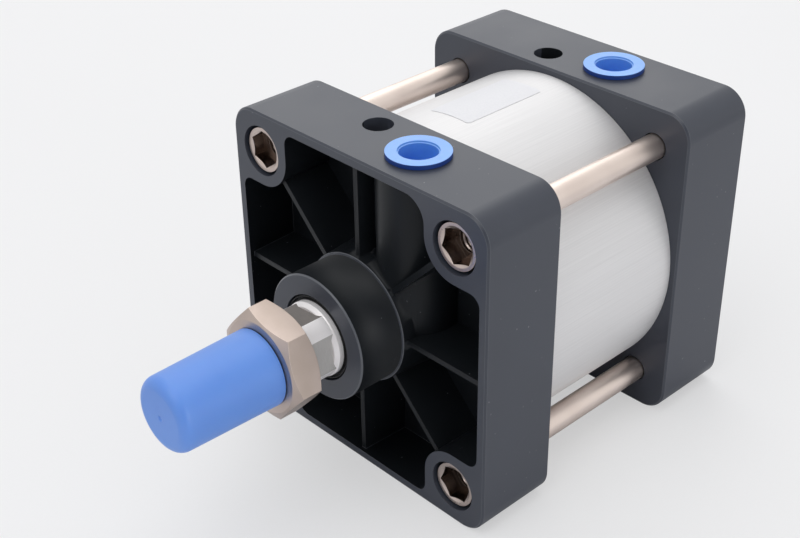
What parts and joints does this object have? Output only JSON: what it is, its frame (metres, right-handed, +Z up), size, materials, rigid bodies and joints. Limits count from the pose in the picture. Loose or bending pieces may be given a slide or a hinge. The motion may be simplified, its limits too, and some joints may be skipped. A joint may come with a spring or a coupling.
{
  "type": "pneumatic cylinder",
  "caption": "Square-cover pneumatic cylinder with ribbed end covers, a round barrel, tie rods, capped threaded rod and plugged air ports.",
  "frame": {"origin": "on the rod's axis, in the plane of the front cover's mounting face, where the round nose starts", "axes": "+X along the rod out of the front cover, +Z up through the air ports, +Y to the right in the picture"},
  "size_m": [0.2499, 0.144, 0.146],
  "materials": {
    "cover_paint": "satin charcoal coating on die-cast aluminium",
    "barrel_anodised": "pale matte anodised",
    "tie_rod_steel": "zinc plated, satin",
    "nut_steel": "zinc plated, satin, slightly warm",
    "rod_chrome": "polished hard chrome",
    "cap_plastic": "soft mid-blue polyethylene",
    "plug_plastic": "light blue polyethylene",
    "seal_rubber": "black",
    "bush_metal": "sintered bronze",
    "piston_metal": "machined",
    "inner_steel": "turned",
    "magnet_rubber": "magnet powder bound in plastic",
    "guide_plastic": "dark moulded guide strip",
    "screw_brass": "turned",
    "label_sheet": "bare white sticker"
  },
  "bodies": {
    "cylinder_body": {"front_cover": "cover_paint", "rear_cover": "cover_paint", "barrel": "barrel_anodised", "tie_rods": "tie_rod_steel", "front_tie_rod_nuts": "nut_steel", "rear_tie_rod_nuts": "nut_steel", "front_barrel_seal": "seal_rubber", "rear_barrel_seal": "seal_rubber", "rod_bush": "bush_metal", "rod_seal": "seal_rubber", "front_cushion_seal": "seal_rubber", "rear_cushion_seal": "seal_rubber", "barrel_label": "label_sheet"},
    "piston_rings": {"piston_seals": "seal_rubber", "wear_ring": "guide_plastic"},
    "rod": {"piston_rod": "rod_chrome", "piston": "piston_metal", "magnet_ring": "magnet_rubber", "front_cushion_sleeve": "inner_steel", "rear_cushion_sleeve": "inner_steel", "piston_nut": "inner_steel"},
    "rod_nut": {"rod_nut": "nut_steel"},
    "rod_cap": {"rod_cap": "cap_plastic"},
    "front_port_plug": {"front_port_plug": "plug_plastic"},
    "rear_port_plug": {"rear_port_plug": "plug_plastic"},
    "front_cushion_screw": {"front_cushion_screw": "screw_brass"},
    "rear_cushion_screw": {"rear_cushion_screw": "screw_brass"}
  },
  "joints": [
    {"name": "rod_slide", "type": "slide", "parent": "cylinder_body", "child": "piston_rings", "axis": [1, 0, 0], "range_m": [0, 0.025]},
    {"name": "rod_turn", "type": "hinge", "parent": "piston_rings", "child": "rod", "pos_m": [-0.0897, 0, 0], "axis": [1, 0, 0], "continuous": true},
    {"name": "rod_nut_turn", "type": "hinge", "parent": "rod", "child": "rod_nut", "pos_m": [0.0426, 0, 0], "axis": [1, 0, 0], "continuous": true},
    {"name": "rod_cap_pull", "type": "slide", "parent": "rod", "child": "rod_cap", "axis": [1, 0, 0], "range_m": [0, 0.05]},
    {"name": "front_plug_pull", "type": "slide", "parent": "cylinder_body", "child": "front_port_plug", "axis": [0, 0, 1], "range_m": [0, 0.06]},
    {"name": "rear_plug_pull", "type": "slide", "parent": "cylinder_body", "child": "rear_port_plug", "axis": [0, 0, 1], "range_m": [0, 0.06]},
    {"name": "front_cushion_turn", "type": "hinge", "parent": "cylinder_body", "child": "front_cushion_screw", "pos_m": [-0.0268, -0.0134, 0.05], "axis": [0, 0, 1], "range_deg": [0, 1080]},
    {"name": "rear_cushion_turn", "type": "hinge", "parent": "cylinder_body", "child": "rear_cushion_screw", "pos_m": [-0.1277, -0.0134, 0.05], "axis": [0, 0, 1], "range_deg": [0, 1080]}
  ]
}
